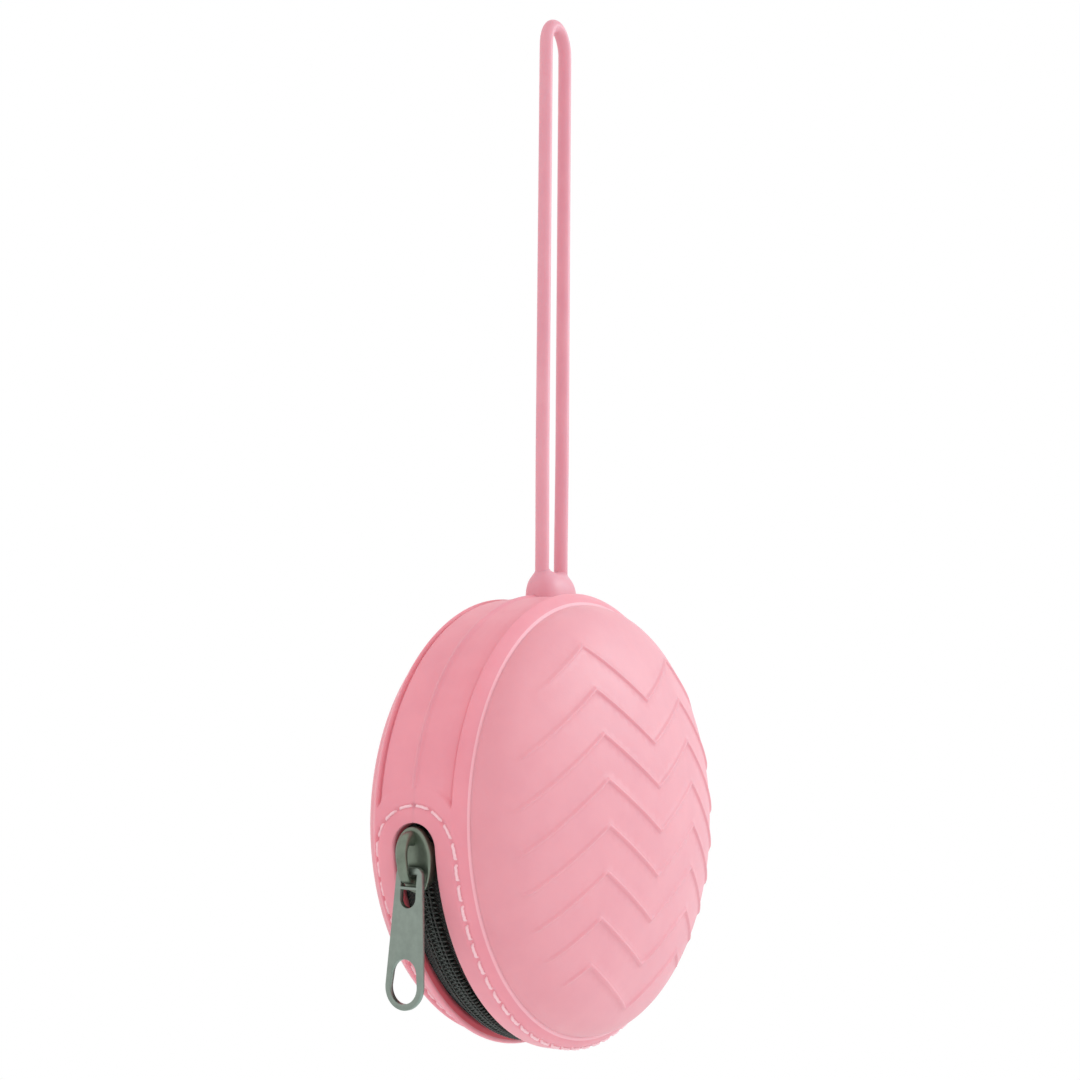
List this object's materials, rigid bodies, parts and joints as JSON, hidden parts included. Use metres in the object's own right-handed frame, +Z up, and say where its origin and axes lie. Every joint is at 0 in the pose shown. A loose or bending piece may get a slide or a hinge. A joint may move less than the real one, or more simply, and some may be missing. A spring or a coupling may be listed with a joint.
{
  "type": "coin purse",
  "caption": "Round domed silicone coin purse hung from a loop strap, with a coil zip round the lower half of its rim and zigzag lines embossed on both faces.",
  "frame": {"origin": "inside top of the strap loop, where a hook or a finger holds the hanging purse", "axes": "+Z up, -Y out of the front dome, the zip runs from -X round the bottom to +X"},
  "size_m": [0.0834, 0.042, 0.1967],
  "materials": {
    "silicone": "matte, fine moulded skin",
    "zip_tape": "woven polyester",
    "zip_coil": "nylon coil, satin",
    "gunmetal": "gunmetal plating, satin",
    "thread": "twisted sewing thread"
  },
  "bodies": {
    "purse": {"front_shell": "silicone", "rear_shell": "silicone", "left_end_thread": "thread", "right_end_thread": "thread", "strap_loop": "silicone", "strap_collar": "silicone", "strap_anchor": "silicone"},
    "front_mouth": {"front_flap": "silicone", "front_bend_band": "silicone", "front_zip_tape": "zip_tape", "front_zip_coil": "zip_coil", "front_coil_cord": "zip_tape", "front_seam_thread": "thread"},
    "rear_mouth": {"rear_flap": "silicone", "rear_bend_band": "silicone", "rear_zip_tape": "zip_tape", "rear_zip_coil": "zip_coil", "rear_coil_cord": "zip_tape", "rear_seam_thread": "thread"},
    "slider": {"slider_body": "gunmetal"},
    "puller": {"pull_tab": "gunmetal"}
  },
  "joints": [
    {"name": "slider_travel", "type": "hinge", "parent": "purse", "child": "slider", "pos_m": [0, 0, -0.154], "axis": [0, -1, 0], "range_deg": [0, 157]},
    {"name": "front_mouth_open", "type": "hinge", "parent": "purse", "child": "front_mouth", "pos_m": [0, -0.005, -0.166], "axis": [-1, 0, 0], "range_deg": [0, 15], "deforming": ["front_zip_tape", "front_zip_coil", "front_coil_cord", "front_bend_band"]},
    {"name": "rear_mouth_open", "type": "hinge", "parent": "purse", "child": "rear_mouth", "pos_m": [0, 0.005, -0.166], "axis": [1, 0, 0], "range_deg": [0, 15], "deforming": ["rear_zip_tape", "rear_zip_coil", "rear_coil_cord", "rear_bend_band"]},
    {"name": "tab_swing", "type": "hinge", "parent": "slider", "child": "puller", "pos_m": [-0.0407, 0, -0.16275], "axis": [0, 1, 0], "range_deg": [-14, 105]}
  ],
  "couplings": [
    {"joint": "front_mouth_open", "follows": "slider_travel", "ratio": 0.0955},
    {"joint": "rear_mouth_open", "follows": "slider_travel", "ratio": 0.0955}
  ]
}
